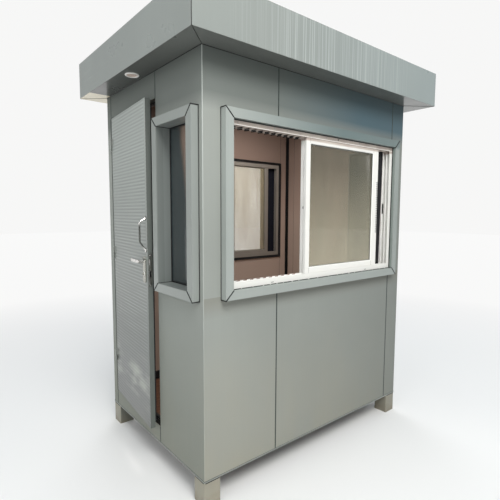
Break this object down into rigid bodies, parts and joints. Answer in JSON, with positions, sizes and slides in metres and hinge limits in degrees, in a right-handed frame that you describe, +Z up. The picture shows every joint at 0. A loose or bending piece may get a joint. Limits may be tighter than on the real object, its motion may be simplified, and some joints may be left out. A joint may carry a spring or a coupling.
{
  "type": "security guard booth",
  "caption": "Small steel guard booth with a box roof, framed sliding windows, side windows, a ribbed door left ajar and square legs.",
  "frame": {"origin": "on the ground, below the middle of the roof box", "axes": "+Z up, -Y out of the front with the wide sliding window, -X out of the wall with the door"},
  "size_m": [2.0608, 1.4708, 2.523],
  "materials": {
    "body_steel": "satin sage grey-green paint",
    "surround_steel": "satin sage grey-green paint",
    "roof_steel": "gloss sage grey-green paint",
    "door_steel": "satin paint on a ribbed skin",
    "door_frame_steel": "dark grey paint",
    "leg_steel": "satin grey paint",
    "hinge_steel": "painted with the body",
    "white_frame": "white powder coat",
    "grey_frame": "satin",
    "window_glass": "clear",
    "black_rubber": "matt",
    "floor_board": "brown sealed board",
    "bright_steel": "polished",
    "lamp_plastic": "white"
  },
  "bodies": {
    "booth": {"legs": "leg_steel", "base_frame": "leg_steel", "floor_panel": "floor_board", "front_left_corner_panel": "body_steel", "front_right_corner_panel": "body_steel", "rear_left_corner_panel": "body_steel", "rear_right_corner_panel": "body_steel", "front_lower_panel": "body_steel", "front_upper_panel": "body_steel", "right_wall_panel": "body_steel", "rear_side_panel": "body_steel", "rear_lower_panel": "body_steel", "rear_upper_panel": "body_steel", "over_door_panel": "body_steel", "door_sill_panel": "body_steel", "panel_joint_seals": "black_rubber", "front_window_surround": "surround_steel", "rear_window_surround": "surround_steel", "left_window_surround": "surround_steel", "right_window_surround": "surround_steel", "front_window_frame": "white_frame", "rear_window_frame": "grey_frame", "front_outer_sash": "white_frame", "front_inner_sash": "white_frame", "rear_window_sashes": "grey_frame", "front_window_glass": "window_glass", "rear_window_glass": "window_glass", "side_window_glass": "window_glass", "sliding_window_trims": "black_rubber", "side_window_gaskets": "black_rubber", "room_corner_trims": "black_rubber", "roof_front": "roof_steel", "roof_right": "roof_steel", "roof_rear": "roof_steel", "roof_left": "roof_steel", "ceiling_panel": "body_steel", "roof_deck": "roof_steel", "soffit_light": "lamp_plastic", "door_frame": "door_frame_steel", "wall_hinge_barrels": "hinge_steel"},
    "door": {"door_leaf": "door_steel", "door_hinge_barrels": "hinge_steel", "lock_plates": "bright_steel", "pull_handle": "bright_steel"},
    "lever": {"door_lever": "bright_steel"}
  },
  "joints": [
    {"name": "door_swing", "type": "hinge", "parent": "booth", "child": "door", "pos_m": [-0.902, 0.531, 1.2], "axis": [0, 0, -1], "range_deg": [-5.3, 95]},
    {"name": "lever_turn", "type": "hinge", "parent": "door", "child": "lever", "pos_m": [-0.9501, -0.0741, 1.233], "axis": [-0.9957, 0.0924, 0], "range_deg": [0, 40], "stiffness_Nm_per_rad": 2, "springref_deg": -17.19}
  ]
}
